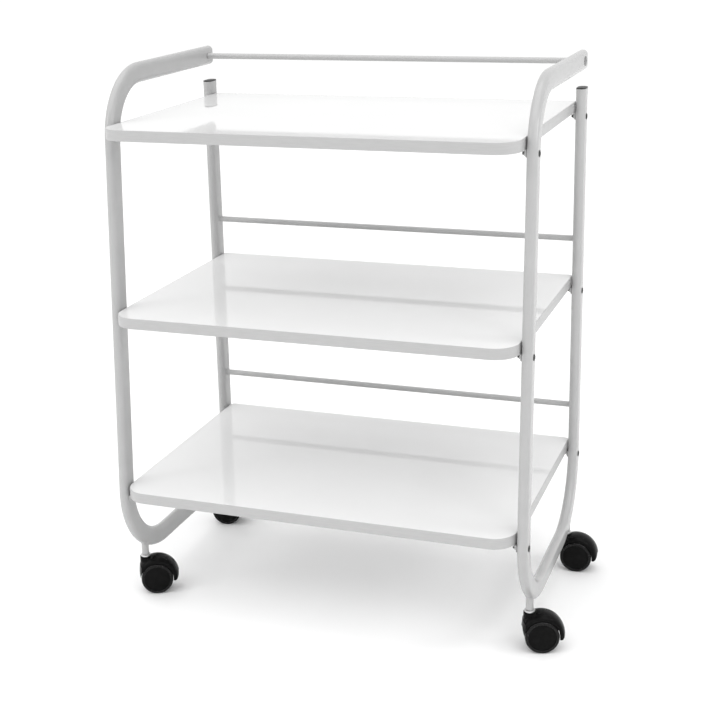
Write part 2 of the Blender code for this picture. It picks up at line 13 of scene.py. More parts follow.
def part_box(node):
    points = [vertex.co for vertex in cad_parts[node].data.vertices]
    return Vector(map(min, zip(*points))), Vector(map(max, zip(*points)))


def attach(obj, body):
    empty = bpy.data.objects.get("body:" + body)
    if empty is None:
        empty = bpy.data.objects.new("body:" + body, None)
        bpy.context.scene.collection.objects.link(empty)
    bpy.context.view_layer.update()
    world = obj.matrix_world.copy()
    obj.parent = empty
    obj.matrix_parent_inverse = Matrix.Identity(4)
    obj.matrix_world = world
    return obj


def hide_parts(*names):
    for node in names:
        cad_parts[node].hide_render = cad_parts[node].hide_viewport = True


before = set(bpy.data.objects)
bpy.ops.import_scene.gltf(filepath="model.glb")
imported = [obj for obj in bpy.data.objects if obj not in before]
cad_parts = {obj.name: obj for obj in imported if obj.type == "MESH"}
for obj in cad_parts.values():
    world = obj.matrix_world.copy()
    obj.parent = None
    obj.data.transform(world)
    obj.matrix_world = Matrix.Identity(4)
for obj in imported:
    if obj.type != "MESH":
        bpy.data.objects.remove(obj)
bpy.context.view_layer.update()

MM = 0.001

# Shelves
SHELF_WIDTH = 600 * MM
SHELF_DEPTH = 410 * MM
SHELF_THICKNESS = 16 * MM
FRONT_CORNER_RADIUS = 35 * MM
REAR_CORNER_RADIUS = 8 * MM
BAND_THICKNESS = 0.9 * MM
BAND_ROUNDING = 0.8 * MM
SEAM = 0.08 * MM

# Side frames
TUBE_WIDTH = 15 * MM
TUBE_DEPTH = 30 * MM
TUBE_WALL = 1.5 * MM
TUBE_X = 309 * MM
FRONT_UPRIGHT_Y = 62.3 * MM
FRONT_UPRIGHT_LEAN = 0.0534
REAR_UPRIGHT_Y = 401 * MM
REAR_UPRIGHT_ABOVE_SHELF = 20 * MM
ARM_ABOVE_SHELF = 63 * MM
ARM_END_Y = 400 * MM
TOP_BEND_RADIUS = 90 * MM
BOTTOM_BEND_RADIUS = 112 * MM
BOTTOM_RUN_HEIGHT = 75 * MM
BEND_STEPS = 30
TUBE_STEPS = 14
CAP_HEIGHT = 1.8 * MM

# Rails
RAIL_RADIUS = 4.5 * MM
RAIL_ABOVE_SHELF = 61 * MM
ARM_RAIL_Y = 382 * MM

# Brackets and fasteners
BRACKET_SHEET = 1.5 * MM
BRACKET_LENGTH = 18 * MM
BRACKET_REACH = 17 * MM
BRACKET_DROP = 11 * MM
BOLT_DROP = 6.3 * MM
BOLT_RADIUS = 2.5 * MM
BOLT_HEAD_RADIUS = 4.5 * MM
ARM_BOLT_HEAD_RADIUS = 7 * MM
BOLT_HEAD_HEIGHT = 1.2 * MM
BOLT_LENGTH = 22.5 * MM
NUT_ACROSS_FLATS = 7 * MM
NUT_HEIGHT = 3.2 * MM
SCREW_FROM_EDGE = 10.5 * MM
GAP = 0.3 * MM

# Casters
SOCKET_RADIUS = 5.5 * MM
SOCKET_BORE = 4.5 * MM
STEM_RADIUS = 3.9 * MM
STEM_TOP = 74 * MM
STEM_BOTTOM = 46.5 * MM
STEM_GROOVE_RADIUS = 3.2 * MM
STEM_GROOVE_LOW = 68 * MM
STEM_GROOVE_HIGH = 71 * MM
COLLAR_RADIUS = 7.8 * MM
COLLAR_LOW = 59.3 * MM
COLLAR_HIGH = 62 * MM
WHEEL_RADIUS = 25 * MM
WHEEL_INNER_FACE = 5.2 * MM
WHEEL_OUTER_FACE = 18.2 * MM
TRAIL = 17 * MM
HOOD_HALF_WIDTH = 17 * MM
HOOD_RIM_RADIUS = 28.5 * MM
HOOD_CROWN_RADIUS = 34.5 * MM
HOOD_WEB = 4.6 * MM
BOSS_RADIUS = 9 * MM
BOSS_BOTTOM = 35 * MM
BOSS_TOP = 59 * MM
NOSE_LOW = 12.4 * MM
NOSE_HIGH = 8.8 * MM
NOSE_ROUND = 40 * MM
TIP_HEIGHT = 25.5 * MM
TIP_FALL = 5.5 * MM
EDGE_ARCH = 14 * MM
WEB_HALF_LENGTH = 10 * MM
WEB_TOP = 52 * MM
POCKET_RADIUS = 25.6 * MM
AXLE_RADIUS = 2.9 * MM
AXLE_BOSS_RADIUS = 7 * MM
HOOD_VOXEL = 0.5 * MM

# Points round a bolt, nut or rail
FINE_STEPS = 48

# Finishes
LAMINATE_SPECULAR = 0.4
BLACK_SPECULAR = 0.07
TREAD_SPECULAR = 0.2

# Light. Softboxes are (name, place, target, size, power).
OVERHEAD_DIRECTION = (-0.1, -0.2, 1.0)
OVERHEAD_STRENGTH = 1.5
OVERHEAD_SPREAD = 80
SOFTBOXES = (
    ("left_softbox", (-2.0, -1.7, 1.7), (0.0, 0.0, 0.5), 0.9, 8),
    ("right_softbox", (1.9, -1.6, 1.9), (0.0, 0.0, 0.5), 0.9, 7),
    ("arm_softbox", (1.2, -0.1, 0.95), (0.31, 0.1, 0.81), 0.3, 2),
)
BRIGHT_SIDE = (-0.3, -0.4, 0.82)
BRIGHT_FILL = 0.78
DARK_FILL = 0.36
FILL_START = -0.7
FILL_END = 0.65
BACKDROP_STRENGTH = 1.02
FLOOR_HALF_SIZE = 6.0

# Camera
YAW = math.radians(20.25)
PITCH = math.radians(15.76)
ROLL = math.radians(-1.41)
CAMERA_FROM_EDGE = Vector((693 * MM, -1737 * MM, 293 * MM))
SENSOR_MM = 36
LENS_MM = 71.64457
CAMERA_SHIFT = (0.026, -0.07)
CLIP_END = 50

FRAME_BODY = "trolley_frame"
SIDES = {"left": -1, "right": 1}
LEVELS = ("top", "middle", "bottom")
CORNERS = ("front_left", "front_right", "rear_left", "rear_right")

SHELF_BOXES = {level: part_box(f"shelf_{level}") for level in LEVELS}
SHELF_TOPS = {level: box[1].z for level, box in SHELF_BOXES.items()}
TOP_LOW, TOP_HIGH = SHELF_BOXES["top"]
ROOT = Vector(((TOP_LOW.x + TOP_HIGH.x) / 2, TOP_LOW.y, 0.0))
ARM_HEIGHT = SHELF_TOPS["top"] + ARM_ABOVE_SHELF
LEAN_ANGLE = math.atan(FRONT_UPRIGHT_LEAN)
LOWER_BEND_HEIGHT = BOTTOM_RUN_HEIGHT + BOTTOM_BEND_RADIUS


def front_upright_y(height):
    return FRONT_UPRIGHT_Y + FRONT_UPRIGHT_LEAN * (height - SHELF_TOPS["top"])


LOWER_BEND_Y = {
    "front": front_upright_y(LOWER_BEND_HEIGHT) + BOTTOM_BEND_RADIUS / math.cos(LEAN_ANGLE),
    "rear": REAR_UPRIGHT_Y - BOTTOM_BEND_RADIUS,
}


# ---------------------------------------------------------------- materials

def node(tree, kind, **values):
    made = tree.nodes.new(kind)
    for key, value in values.items():
        setattr(made, key, value)
    return made


def noise(tree, coords, scale, detail=3.0, stretch=None):
    """Noise over object coordinates, in metres. A stretch scales it differently along each axis."""
    texture = node(tree, "ShaderNodeTexNoise")
    texture.inputs["Scale"].default_value = scale
    texture.inputs["Detail"].default_value = detail
    source = coords.outputs["Object"]
    if stretch:
        mapping = node(tree, "ShaderNodeMapping")
        mapping.inputs["Scale"].default_value = stretch
        tree.links.new(source, mapping.inputs["Vector"])
        source = mapping.outputs["Vector"]
    tree.links.new(source, texture.inputs["Vector"])
    return texture.outputs["Fac"]


def spread(tree, value, low, high):
    """Map the middle of a noise onto a range."""
    remap = node(tree, "ShaderNodeMapRange")
    remap.inputs["From Min"].default_value = 0.3
    remap.inputs["From Max"].default_value = 0.7
    remap.inputs["To Min"].default_value = low
    remap.inputs["To Max"].default_value = high
    tree.links.new(value, remap.inputs["Value"])
    return remap.outputs["Result"]


def tones(tree, value, dark, light):
    """Blend two close tones by a noise."""
    ramp = node(tree, "ShaderNodeValToRGB")
    ramp.color_ramp.elements[0].position = 0.35
    ramp.color_ramp.elements[0].color = (*dark, 1.0)
    ramp.color_ramp.elements[1].position = 0.65
    ramp.color_ramp.elements[1].color = (*light, 1.0)
    tree.links.new(value, ramp.inputs["Fac"])
    return ramp.outputs["Color"]


def bump(tree, height, strength, distance, normal=None):
    made = node(tree, "ShaderNodeBump")
    made.inputs["Strength"].default_value = strength
    made.inputs["Distance"].default_value = distance
    tree.links.new(height, made.inputs["Height"])
    if normal:
        tree.links.new(normal, made.inputs["Normal"])
    return made.outputs["Normal"]


def finish_material(
    name, dark, light, tone_scale, rough, rough_scale, grain,
    relief=None, stretch=None, metallic=0.0, specular=0.5,
):
    """Procedural finish: two tones, an uneven gloss, a fine grain and, if asked, a broad relief.

    grain and relief are (scale, strength, distance).
    """
    material = bpy.data.materials.new(name)
    material.use_nodes = True
    tree = material.node_tree
    shader = tree.nodes["Principled BSDF"]
    coords = node(tree, "ShaderNodeTexCoord")
    colour = tones(tree, noise(tree, coords, tone_scale, 4.0, stretch), dark, light)
    tree.links.new(colour, shader.inputs["Base Color"])
    gloss = spread(tree, noise(tree, coords, rough_scale, 3.0, stretch), *rough)
    tree.links.new(gloss, shader.inputs["Roughness"])
    normal = bump(tree, noise(tree, coords, grain[0], 2.0), grain[1], grain[2])
    if relief:
        height = noise(tree, coords, relief[0], 2.0, stretch)
        normal = bump(tree, height, relief[1], relief[2], normal)
    tree.links.new(normal, shader.inputs["Normal"])
    shader.inputs["Metallic"].default_value = metallic
    shader.inputs["Specular IOR Level"].default_value = specular
    return material


def grey(value, warmth=0.0):
    return (value * (1 + warmth), value, value * (1 - warmth))


def make_materials():
    return {
        "powder": finish_material(
            "powder_coat", grey(0.435), grey(0.45), 35, (0.22, 0.27), 60,
            (1100, 0.12, 0.00006), (260, 0.04, 0.0001),
        ),
        "laminate": finish_material(
            "laminate", grey(0.765), grey(0.775), 9, (0.03, 0.06), 14,
            (2200, 0.03, 0.00003), (22, 0.015, 0.0003), specular=LAMINATE_SPECULAR,
        ),
        # The edge band is white like the laminate; its tones are set much darker as painted shade for
        # its upright faces.
        "edge_band_painted_shade": finish_material(
            "edge_band_painted_shade", grey(0.45), grey(0.475), 40, (0.28, 0.38), 50,
            (1500, 0.1, 0.00005), stretch=(1, 1, 14),
        ),
        "cap": finish_material(
            "cap_plastic", grey(0.006), grey(0.01), 220, (0.4, 0.52), 300, (2600, 0.35, 0.0001),
        ),
        "plug": finish_material(
            "plug_plastic", grey(0.68), grey(0.72), 200, (0.4, 0.5), 260, (2400, 0.3, 0.0001),
        ),
        "hood": finish_material(
            "hood_nylon", grey(0.003), grey(0.005), 130, (0.2, 0.28), 180,
            (1800, 0.1, 0.00008), (140, 0.06, 0.0002), specular=BLACK_SPECULAR,
        ),
        "tread": finish_material(
            "wheel_tread", grey(0.004), grey(0.007), 260, (0.12, 0.18), 320,
            (2000, 0.1, 0.00006), specular=TREAD_SPECULAR,
        ),
        "disc": finish_material(
            "wheel_disc", grey(0.0035), grey(0.006), 160, (0.3, 0.42), 240,
            (1600, 0.15, 0.00008), specular=BLACK_SPECULAR,
        ),
        "black_steel": finish_material(
            "black_oxide", grey(0.02), grey(0.035), 500, (0.3, 0.45), 700,
            (3000, 0.3, 0.00008), metallic=0.7,
        ),
        "bolt_steel": finish_material(
            "bolt_steel", grey(0.22), grey(0.28), 300, (0.3, 0.42), 380,
            (1900, 0.2, 0.0001), metallic=1.0,
        ),
        "zinc": finish_material(
            "zinc_plate", grey(0.60, 0.01), grey(0.70, -0.01), 260, (0.22, 0.36), 340,
            (1900, 0.2, 0.0001), metallic=1.0,
        ),
    }


# ---------------------------------------------------------------- mesh helpers

def arc(centre, radius, start, end, steps):
    points = []
    for i in range(steps + 1):
        angle = math.radians(start + (end - start) * i / steps)
        points.append((centre[0] + radius * math.cos(angle), centre[1] + radius * math.sin(angle)))
    return points


def circle(radius, z, count=64):
    angles = [math.tau * i / count for i in range(count)]
    return [(radius * math.cos(angle), radius * math.sin(angle), z) for angle in angles]


def hexagon(across_flats, z, count=FINE_STEPS):
    """Hexagon drawn with as many points as a circle, so the two loft together."""
    points = []
    for i in range(count):
        angle = math.tau * i / count
        radius = across_flats / 2 / math.cos((angle + math.pi / 6) % (math.pi / 3) - math.pi / 6)
        points.append((radius * math.cos(angle), radius * math.sin(angle), z))
    return points


def oval(width, depth, steps):
    radius = width / 2
    reach = depth / 2 - radius
    return arc((0, reach), radius, 0, 180, steps) + arc((0, -reach), radius, 180, 360, steps)


def loft(rings, loop=False, caps=True):
    """Mesh through equal rings of points, capped flat or joined from the last ring to the first."""
    count = len(rings[0])
    verts = [point for ring in rings for point in ring]
    faces = []
    for k in range(len(rings) if loop else len(rings) - 1):
        low = k * count
        high = (k + 1) % len(rings) * count
        for i in range(count):
            j = (i + 1) % count
            faces.append((low + i, low + j, high + j, high + i))
    if caps and not loop:
        faces.append(tuple(range(count)))
        faces.append(tuple(range((len(rings) - 1) * count, len(rings) * count)))
    mesh = bpy.data.meshes.new("loft")
    mesh.from_pydata(verts, [], faces)
    return tidy_mesh(mesh)


def tidy_mesh(mesh, weld=0.000005):
    bm = bmesh.new()
    bm.from_mesh(mesh)
    bmesh.ops.remove_doubles(bm, verts=bm.verts, dist=weld)
    bmesh.ops.recalc_face_normals(bm, faces=bm.faces)
    bm.to_mesh(mesh)
    bm.free()
    return mesh


def lathe(profile, count=64):
    """Turn (radius, height) points round Z. A radius of nought closes the end with a fan."""
    verts = []
    faces = []
    starts = []
    for radius, height in profile:
        starts.append((len(verts), radius == 0))
        verts += [(0, 0, height)] if radius == 0 else circle(radius, height, count)
    for (low, low_tip), (high, high_tip) in zip(starts, starts[1:]):
        for i in range(count):
            j = (i + 1) % count
            if low_tip:
                faces.append((low, high + j, high + i))
            elif high_tip:
                faces.append((low + i, low + j, high))
            else:
                faces.append((low + i, low + j, high + j, high + i))
    mesh = bpy.data.meshes.new("lathe")
    mesh.from_pydata(verts, [], faces)
    return tidy_mesh(mesh)


def rounded(corner, radius, start, end, steps=5):
    """Profile points of a rounded corner whose arc centre is given."""
    return arc(corner, radius, start, end, steps)


def axis_matrix(axis, location):
    turn = Vector((0, 0, 1)).rotation_difference(Vector(axis)).to_matrix().to_4x4()
    return Matrix.Translation(location) @ turn


def smooth(mesh, angle=38):
    mesh.shade_smooth()
    mesh.set_sharp_from_angle(angle=math.radians(angle))


def add_piece(name, mesh, material, body, replaced=None, place=None):
    """Link a mesh as a piece that rides on a body. The place is in the working frame."""
    piece = bpy.data.objects.new(name, mesh)
    bpy.context.scene.collection.objects.link(piece)
    if not mesh.materials:
        mesh.materials.append(material)
        smooth(mesh)
    piece.matrix_world = Matrix.Translation(ROOT) @ (place or Matrix.Identity(4))
    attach(piece, body)
    if replaced:
        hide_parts(replaced)
    return piece


def helper(mesh):
    obj = bpy.data.objects.new("helper", mesh)
    bpy.context.scene.collection.objects.link(obj)
    return obj


def boolean(target, mesh, operation):
    """Apply one exact Boolean to a helper object and drop the other body."""
    other = helper(mesh)
    modifier = target.modifiers.new("cut", "BOOLEAN")
    modifier.operation = operation
    modifier.solver = "EXACT"
    modifier.object = other
    bake(target)
    bpy.data.objects.remove(other, do_unlink=True)


def bake(obj):
    """Replace a helper object's mesh by what its modifiers make of it."""
    bpy.context.view_layer.update()
    depsgraph = bpy.context.evaluated_depsgraph_get()
    mesh = bpy.data.meshes.new_from_object(obj.evaluated_get(depsgraph))
    obj.modifiers.clear()
    obj.data = mesh


def taken_mesh(obj):
    mesh = obj.data
    bpy.data.objects.remove(obj, do_unlink=True)
    mesh.materials.clear()
    return mesh


def bevelled(mesh, width, segments=2, angle=30):
    obj = helper(mesh)
    modifier = obj.modifiers.new("edges", "BEVEL")
    modifier.width = width
    modifier.segments = segments
    modifier.limit_method = "ANGLE"
    modifier.angle_limit = math.radians(angle)
    bake(obj)
    return taken_mesh(obj)


def box_mesh(low, high):
    bm = bmesh.new()
    size = Vector(high) - Vector(low)
    place = Matrix.Translation((Vector(low) + Vector(high)) / 2) @ Matrix.Diagonal((*size, 1.0))
    bmesh.ops.create_cube(bm, size=1.0, matrix=place)
    mesh = bpy.data.meshes.new("box")
    bm.to_mesh(mesh)
    bm.free()
    return mesh


# ---------------------------------------------------------------- side frames

def frame_stations():
    """(Y, Z, heading) along the tube's middle, from the arm's end to the rear upright's top."""
    lean = math.degrees(LEAN_ANGLE)
    top_z = ARM_HEIGHT - TOP_BEND_RADIUS
    top_y = front_upright_y(top_z) + TOP_BEND_RADIUS / math.cos(LEAN_ANGLE)
    bends = (
        ((top_y, top_z), TOP_BEND_RADIUS, 90, 180 - lean),
        ((LOWER_BEND_Y["front"], LOWER_BEND_HEIGHT), BOTTOM_BEND_RADIUS, 180 - lean, 270),
        ((LOWER_BEND_Y["rear"], LOWER_BEND_HEIGHT), BOTTOM_BEND_RADIUS, 270, 360),
    )
    stations = [(ARM_END_Y, ARM_HEIGHT, 180.0)]
    for centre, radius, start, end in bends:
        for i, (y, z) in enumerate(arc(centre, radius, start, end, BEND_STEPS)):
            stations.append((y, z, start + (end - start) * i / BEND_STEPS + 90))
    stations.append((REAR_UPRIGHT_Y, SHELF_TOPS["top"] + REAR_UPRIGHT_ABOVE_SHELF, 450.0))
    return stations


def tube_rings(width, depth):
    """Oval rings across the tube at every station."""
    outline = oval(width, depth, TUBE_STEPS)
    rings = []
    for y, z, heading in frame_stations():
        normal = math.radians(heading + 90)
        dy, dz = math.cos(normal), math.sin(normal)
        rings.append([(across, y + along * dy, z + along * dz) for across, along in outline])
    return rings


def tube_underside(across, y, end):
    """Height of the lower bend's outer surface above a point of the floor."""
    reach = BOTTOM_BEND_RADIUS + TUBE_DEPTH / 2 - TUBE_WIDTH / 2
    reach += math.sqrt(max(0.0, (TUBE_WIDTH / 2) ** 2 - across**2))
    return LOWER_BEND_HEIGHT - math.sqrt(reach**2 - (y - LOWER_BEND_Y[end]) ** 2)


def socket_mesh(end, stem_y):
    """Caster socket with its weld bead under the bend. X is measured from the tube's middle."""
    count = 72
    ripples = 17
    low = COLLAR_HIGH + GAP

    def ring(radius, drop, ripple=0.0):
        points = []
        for i in range(count):
            angle = math.tau * i / count
            r = radius + ripple * math.sin(angle * ripples)
            x = r * math.cos(angle)
            y = stem_y + r * math.sin(angle)
            points.append((x, y, tube_underside(x, y, end) - drop))
        return points

    def level(radius, z):
        return [(x, y + stem_y, z) for x, y, _ in circle(radius, z, count)]

    rings = [
        level(SOCKET_BORE, STEM_TOP + 1 * MM),
        level(SOCKET_BORE, low + 0.4 * MM),
        level(SOCKET_BORE + 0.3 * MM, low),
        level(SOCKET_RADIUS - 0.3 * MM, low),
        level(SOCKET_RADIUS, low + 0.3 * MM),
        ring(SOCKET_RADIUS, 2.6 * MM),
        ring(SOCKET_RADIUS + 0.15 * MM, 1.9 * MM, 0.05 * MM),
        ring(SOCKET_RADIUS + 0.5 * MM, 1.3 * MM, 0.12 * MM),
        ring(SOCKET_RADIUS + 1.0 * MM, 0.75 * MM, 0.15 * MM),
        ring(SOCKET_RADIUS + 1.45 * MM, 0.2 * MM, 0.12 * MM),
        ring(SOCKET_RADIUS + 1.5 * MM, -0.5 * MM),
    ]
    return loft(rings)


def make_side_frames():
    for side, sign in SIDES.items():
        rings = tube_rings(TUBE_WIDTH, TUBE_DEPTH)
        rings += reversed(tube_rings(TUBE_WIDTH - 2 * TUBE_WALL, TUBE_DEPTH - 2 * TUBE_WALL))
        place = Matrix.Translation((sign * TUBE_X, 0, 0))
        tube = loft(rings, loop=True)
        add_piece(
            f"{side}_bent_tube", tube, MATERIALS["powder"], FRAME_BODY,
            f"side_frame_{side}", place,
        )
        for end in ("front", "rear"):
            mesh = socket_mesh(end, STEM_Y[end])
            name = f"{end}_{side}_socket"
            add_piece(name, mesh, MATERIALS["powder"], FRAME_BODY, None, place)


def domed_cap(dome):
    """Push-in cap for an open tube end. Its flange lies on Z = 0 and its crown rises."""
    wall_width = TUBE_WIDTH - 2 * TUBE_WALL - 0.5 * MM
    wall_depth = TUBE_DEPTH - 2 * TUBE_WALL - 0.5 * MM
    inset = 0.9 * MM
    plug_depth = 11 * MM

    def ring(width, depth, height):
        return [(x, y, height) for x, y in oval(width, depth, TUBE_STEPS)]

    rings = [ring(wall_width, wall_depth, height) for height in (-plug_depth, -0.2 * MM)]
    rings.append(ring(TUBE_WIDTH - 0.3 * MM, TUBE_DEPTH - 0.3 * MM, 0.0))
    for back, height in rounded((0.0, CAP_HEIGHT - inset), inset, 0, 90, 6):
        shrink = 2 * (inset - back)
        rings.append(ring(TUBE_WIDTH - shrink, TUBE_DEPTH - shrink, height))
    for share in (0.3, 0.55, 0.8, 0.97):
        shrink = 2 * inset + share * (TUBE_WIDTH - 2 * inset)
        height = CAP_HEIGHT + dome * (1 - (1 - share) ** 2)
        rings.append(ring(TUBE_WIDTH - shrink, TUBE_DEPTH - shrink, height))
    return loft(rings)


def make_plugs():
    cap = domed_cap(0.5 * MM)
    plug = domed_cap(0.05 * MM)
    for side, sign in SIDES.items():
        top = SHELF_TOPS["top"] + REAR_UPRIGHT_ABOVE_SHELF
        upright_end = Matrix.Translation((sign * TUBE_X, REAR_UPRIGHT_Y, top + GAP / 3))
        arm_end = Matrix.Translation((sign * TUBE_X, ARM_END_Y + GAP / 3, ARM_HEIGHT))
        arm_end = arm_end @ Matrix.Rotation(math.radians(-90), 4, "X")
        add_piece(
            f"{side}_upright_end_cap", cap, MATERIALS["cap"], FRAME_BODY,
            f"upright_cap_{side}", upright_end,
        )
        add_piece(
            f"{side}_arm_end_plug", plug, MATERIALS["plug"], FRAME_BODY,
            f"arm_plug_{side}", arm_end,
        )


# ---------------------------------------------------------------- rails

def make_rails():
    half = TUBE_X - TUBE_WIDTH / 2
    spots = {
        "top": (ARM_RAIL_Y, ARM_HEIGHT, False),
        "middle": (REAR_UPRIGHT_Y, SHELF_TOPS["middle"] + RAIL_ABOVE_SHELF, True),
        "bottom": (REAR_UPRIGHT_Y, SHELF_TOPS["bottom"] + RAIL_ABOVE_SHELF, True),
    }
    for level, (y, z, welded) in spots.items():
        if welded:
            end = [(2.2, 0.0), (1.4, 0.2), (0.8, 0.7), (0.35, 1.35), (0.05, 1.8), (-0.2, 1.85)]
        else:
            end = [(0.45, 0.0), (0.1, -0.4)]
        shape = [(-half + back * MM, RAIL_RADIUS + swell * MM) for back, swell in reversed(end)]
        rings = [circle(r, x, FINE_STEPS) for x, r in shape]
        rings += [circle(r, -x, FINE_STEPS) for x, r in reversed(shape)]
        bar = loft(rings)
        place = axis_matrix((1, 0, 0), (0, y, z))
        add_piece(
            f"{level}_guard_rail", bar, MATERIALS["powder"], FRAME_BODY,
            f"rear_rail_{level}", place,
        )


# ---------------------------------------------------------------- shelves

def shelf_outline(inset, z):
    half = SHELF_WIDTH / 2
    front = FRONT_CORNER_RADIUS
    rear = REAR_CORNER_RADIUS
    points = arc((-half + front, front), front - inset, 180, 270, 20)
    points += arc((half - front, front), front - inset, 270, 360, 20)
    points += arc((half - rear, SHELF_DEPTH - rear), rear - inset, 0, 90, 8)
    points += arc((-half + rear, SHELF_DEPTH - rear), rear - inset, 90, 180, 8)
    return [(x, y, z) for x, y in points]


def make_shelves():
    for level in LEVELS:
        top = SHELF_TOPS[level]
        bottom = top - SHELF_THICKNESS
        r = BAND_ROUNDING
        band = [shelf_outline(r - out, z) for out, z in rounded((0, bottom + r), r, -90, 0)]
        band += [shelf_outline(r - out, z) for out, z in rounded((0, top - r), r, 0, 90)]
        band.append(shelf_outline(BAND_THICKNESS, top))
        band.append(shelf_outline(BAND_THICKNESS, bottom))
        # The band's darker grey is painted shade standing in for the light its upright faces lose.
        name = f"{level}_shelf_edge_band"
        add_piece(name, loft(band, loop=True), MATERIALS["edge_band_painted_shade"], FRAME_BODY)

        core = BAND_THICKNESS + SEAM
        board = [
            shelf_outline(core + 0.15 * MM, bottom),
            shelf_outline(core, bottom + 0.15 * MM),
            shelf_outline(core, top - 0.15 * MM),
            shelf_outline(core + 0.15 * MM, top),
        ]
        name = f"{level}_shelf_board"
        add_piece(
            name, loft(board), MATERIALS["laminate"], FRAME_BODY, f"shelf_{level}",
        )


# ---------------------------------------------------------------- brackets and fasteners

def bracket_mesh():
    """Bent sheet bracket with rounded leg corners, its outer faces at X = 0 and Z = 0."""
    half = BRACKET_SHEET / 2
    bend = 1.4 * MM
    path = [(-BRACKET_REACH + step * MM, -half, 90.0) for step in (0, 0.4, 1, 2, 3)]
    path += [
        (x, z, angle)
        for (x, z), angle in zip(
            arc((-half - bend, -half - bend), bend, 90, 0, 8), [90 - 90 * i / 8 for i in range(9)]
        )
    ]
    path += [(-half, -BRACKET_DROP + step * MM, 0.0) for step in (3, 2, 1, 0.4, 0)]
    corner = 3 * MM
    rings = []
    for x, z, angle in path:
        from_end = min(x + BRACKET_REACH, z + BRACKET_DROP, corner)
        rounding = math.sqrt(max(0.0, corner**2 - (corner - from_end) ** 2))
        width = BRACKET_LENGTH / 2 - corner + rounding
        dx = half * math.cos(math.radians(angle))
        dz = half * math.sin(math.radians(angle))
        rings.append([
            (x + dx, width, z + dz), (x + dx, -width, z + dz),
            (x - dx, -width, z - dz), (x - dx, width, z - dz),
        ])
    return bevelled(loft(rings), 0.2 * MM, 2, 50)


def nut_mesh():
    """Hexagonal weld nut with its projection bead, standing up from Z = 0."""
    flats = NUT_ACROSS_FLATS
    rings = [
        circle(flats * 0.56, 0.0, FINE_STEPS),
        hexagon(flats + 0.5 * MM, 0.35 * MM),
        hexagon(flats, 0.7 * MM),
        hexagon(flats, NUT_HEIGHT - 0.5 * MM),
        circle(flats * 0.49, NUT_HEIGHT, FINE_STEPS),
    ]
    return loft(rings)


def bolt_mesh(head):
    """Thin-headed bolt with a hexagon socket and a thread. Its head rises from Z = 0."""
    rise = BOLT_HEAD_HEIGHT
    pitch = 0.8 * MM
    shank = BOLT_RADIUS
    brim = 0.2 * MM
    socket = 3.0 * MM
    crown_steps = 9
    rings = [circle(shank - 0.9 * MM, -BOLT_LENGTH, FINE_STEPS)]
    z = -BOLT_LENGTH + 0.5 * MM
    while z < -BOLT_LENGTH + 11 * MM:
        rings.append(circle(shank, z, FINE_STEPS))
        rings.append(circle(shank - 0.4 * MM, z + pitch / 2, FINE_STEPS))
        z += pitch
    for radius, height in ((shank, z), (shank, 0), (head - brim, 0), (head, brim)):
        rings.append(circle(radius, height, FINE_STEPS))
    for i in range(1, crown_steps):
        share = i / crown_steps
        lift = math.sin(share * math.pi / 2)
        reach = head - (head - 2.3 * MM) * (1 - math.sqrt(1 - share**2.5))
        rings.append(circle(reach, brim + (rise - brim) * lift, FINE_STEPS))
    rings.append(circle(1.95 * MM, rise, FINE_STEPS))
    rings += [hexagon(socket, rise - 0.15 * MM), hexagon(socket, rise - 1.6 * MM)]
    return loft(rings)


def wood_screw_mesh():
    """Pan-head cross-recess screw. Its head hangs below Z = 0 and its shank goes up."""
    profile = [(0, 9.5 * MM), (1.2 * MM, 8.0 * MM)]
    for i in range(9):
        profile.append((1.9 * MM, (7.6 - 0.9 * i) * MM))
        profile.append((1.3 * MM, (7.2 - 0.9 * i) * MM))
    head = 3.5 * MM
    dome = -1.9 * MM
    profile += [(1.4 * MM, 0), (head, 0)]
    profile += [(head * math.cos(a), dome * math.sin(a)) for a in (0.25, 0.55, 0.85, 1.15, 1.4)]
    profile.append((0, dome))
    screw = helper(lathe(profile, 40))
    for low, high in (((-1.7, -0.3, -3), (1.7, 0.3, -0.9)), ((-0.3, -1.7, -3), (0.3, 1.7, -0.9))):
        boolean(screw, box_mesh([v * MM for v in low], [v * MM for v in high]), "DIFFERENCE")
    return taken_mesh(screw)


